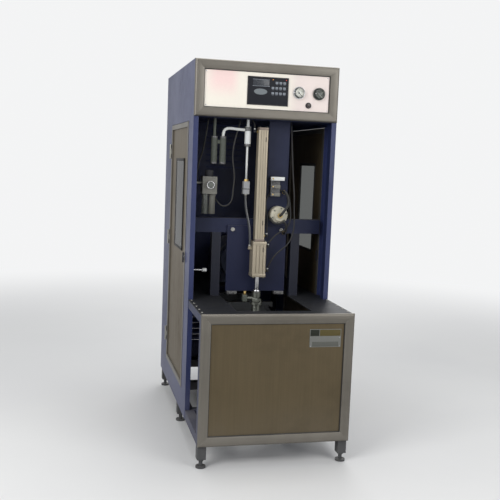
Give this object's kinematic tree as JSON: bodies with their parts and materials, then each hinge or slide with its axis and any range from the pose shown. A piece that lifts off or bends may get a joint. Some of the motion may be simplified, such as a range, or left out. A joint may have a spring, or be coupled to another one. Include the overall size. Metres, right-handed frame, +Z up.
{
  "type": "blow moulding machine",
  "caption": "Upright cabinet machine that blows large bottles: nozzle and stretch cylinders over a mould bay with a sliding clamp, side doors and a header panel.",
  "frame": {"origin": "on the floor under the middle of the machine", "axes": "+Z up, +X to the right seen from the front, front panels face -Y"},
  "size_m": [0.826, 1.67, 2.08],
  "materials": {
    "frame_paint": "satin enamel, dark blue",
    "blue_sheet": "powder coat, royal blue",
    "trim_aluminium": "anodised satin",
    "champagne_panel": "brushed, champagne tint",
    "fascia_ivory": "printed film on sheet, satin",
    "controller_black": "moulded, satin",
    "gauge_case": "polished",
    "pointer_black": "gloss",
    "knob_black": "moulded",
    "window_acrylic": "smoked clear",
    "hinge_steel": "plated",
    "foot_steel": "dark enamel",
    "deck_steel": "grey-olive",
    "cylinder_aluminium": "anodised, champagne silver",
    "chromed_rod": "hard chrome",
    "nozzle_steel": "turned",
    "seal_rubber": "red silicone",
    "platen_steel": "ground",
    "clamp_paint": "enamel",
    "filter_body": "moulded, pale grey",
    "silencer_grey": "grey-green",
    "valve_aluminium": "satin",
    "hose_clear": "milky clear tube",
    "inlet_brass": "turned"
  },
  "bodies": {
    "root": {"frame_posts": "frame_paint", "frame_side_rails": "frame_paint", "frame_cross_rails": "frame_paint", "head_beam": "frame_paint", "left_side_panel": "blue_sheet", "right_side_panel": "blue_sheet", "roof_panel": "blue_sheet", "rear_cover": "blue_sheet", "header_floor": "blue_sheet", "head_plate": "blue_sheet", "valve_panel": "blue_sheet", "header_side_trims": "trim_aluminium", "header_cross_trims": "trim_aluminium", "base_side_trims": "trim_aluminium", "base_cross_trims": "trim_aluminium", "base_panel": "champagne_panel", "fascia": "fascia_ivory", "controller": "controller_black", "low_gauge": "gauge_case", "high_gauge": "gauge_case", "selector_ring": "gauge_case", "left_frame_leaves": "hinge_steel", "right_frame_leaves": "hinge_steel", "levelling_feet": "foot_steel", "deck_plate": "deck_steel", "seal_cylinder": "cylinder_aluminium", "stretch_cylinder": "cylinder_aluminium", "slide_rails": "platen_steel", "air_tank": "clamp_paint", "filter_regulator": "filter_body", "blow_line": "filter_body", "blow_valve": "filter_body", "silencers": "silencer_grey", "valve_manifold": "valve_aluminium", "air_hoses": "hose_clear", "inlet_valve": "inlet_brass"},
    "left_door": {"left_door_panel": "champagne_panel", "left_door_edging": "trim_aluminium", "left_door_window": "window_acrylic", "left_door_leaves": "hinge_steel"},
    "left_latch": {"left_latch": "hinge_steel"},
    "right_door": {"right_door_panel": "champagne_panel", "right_door_edging": "trim_aluminium", "right_door_window": "window_acrylic", "right_door_leaves": "hinge_steel"},
    "right_latch": {"right_latch": "hinge_steel"},
    "low_pointer": {"low_gauge_pointer": "pointer_black"},
    "high_pointer": {"high_gauge_pointer": "pointer_black"},
    "selector": {"selector_knob": "knob_black"},
    "nozzle_carriage": {"seal_rod": "chromed_rod", "nozzle": "nozzle_steel", "nozzle_seal": "seal_rubber"},
    "stretch": {"stretch_rod": "chromed_rod"},
    "front_clamp": {"front_platen": "platen_steel", "tie_bars": "chromed_rod", "yoke_plate": "platen_steel", "clamp_cylinder": "clamp_paint"},
    "rear_clamp": {"rear_platen": "platen_steel", "clamp_rod": "chromed_rod"},
    "regulator": {"regulator_knob": "knob_black"}
  },
  "joints": [
    {"name": "right_door_hinge", "type": "hinge", "parent": "root", "child": "right_door", "pos_m": [0.407, 0.471, 1], "axis": [0, 0, 1], "range_deg": [0, 110]},
    {"name": "left_door_hinge", "type": "hinge", "parent": "root", "child": "left_door", "pos_m": [-0.407, 0.471, 1], "axis": [0, 0, -1], "range_deg": [0, 110]},
    {"name": "right_latch_turn", "type": "hinge", "parent": "right_door", "child": "right_latch", "pos_m": [0.4, -0.218, 1], "axis": [1, 0, 0], "range_deg": [0, 90]},
    {"name": "left_latch_turn", "type": "hinge", "parent": "left_door", "child": "left_latch", "pos_m": [-0.4, -0.218, 1], "axis": [1, 0, 0], "range_deg": [0, 90]},
    {"name": "low_pointer_turn", "type": "hinge", "parent": "root", "child": "low_pointer", "pos_m": [0.174, -0.391, 1.931], "axis": [0, 1, 0], "range_deg": [0, 270]},
    {"name": "high_pointer_turn", "type": "hinge", "parent": "root", "child": "high_pointer", "pos_m": [0.288, -0.391, 1.931], "axis": [0, 1, 0], "range_deg": [0, 270]},
    {"name": "selector_turn", "type": "hinge", "parent": "root", "child": "selector", "pos_m": [0.231, -0.395, 1.866], "axis": [0, 1, 0], "range_deg": [0, 90]},
    {"name": "nozzle_lift", "type": "slide", "parent": "root", "child": "nozzle_carriage", "axis": [0, 0, 1], "range_m": [0, 0.06]},
    {"name": "stretch_down", "type": "slide", "parent": "root", "child": "stretch", "axis": [0, 0, -1], "range_m": [0, 0.48]},
    {"name": "front_clamp_slide", "type": "slide", "parent": "root", "child": "front_clamp", "axis": [0, 1, 0], "range_m": [0, 0.15]},
    {"name": "rear_clamp_slide", "type": "slide", "parent": "root", "child": "rear_clamp", "axis": [0, 1, 0], "range_m": [-0.15, 0]},
    {"name": "regulator_turn", "type": "hinge", "parent": "root", "child": "regulator", "pos_m": [-0.29, -0.3, 1.46], "axis": [0, 0, 1], "range_deg": [0, 300]}
  ],
  "couplings": [
    {"joint": "rear_clamp_slide", "follows": "front_clamp_slide", "ratio": -1}
  ]
}
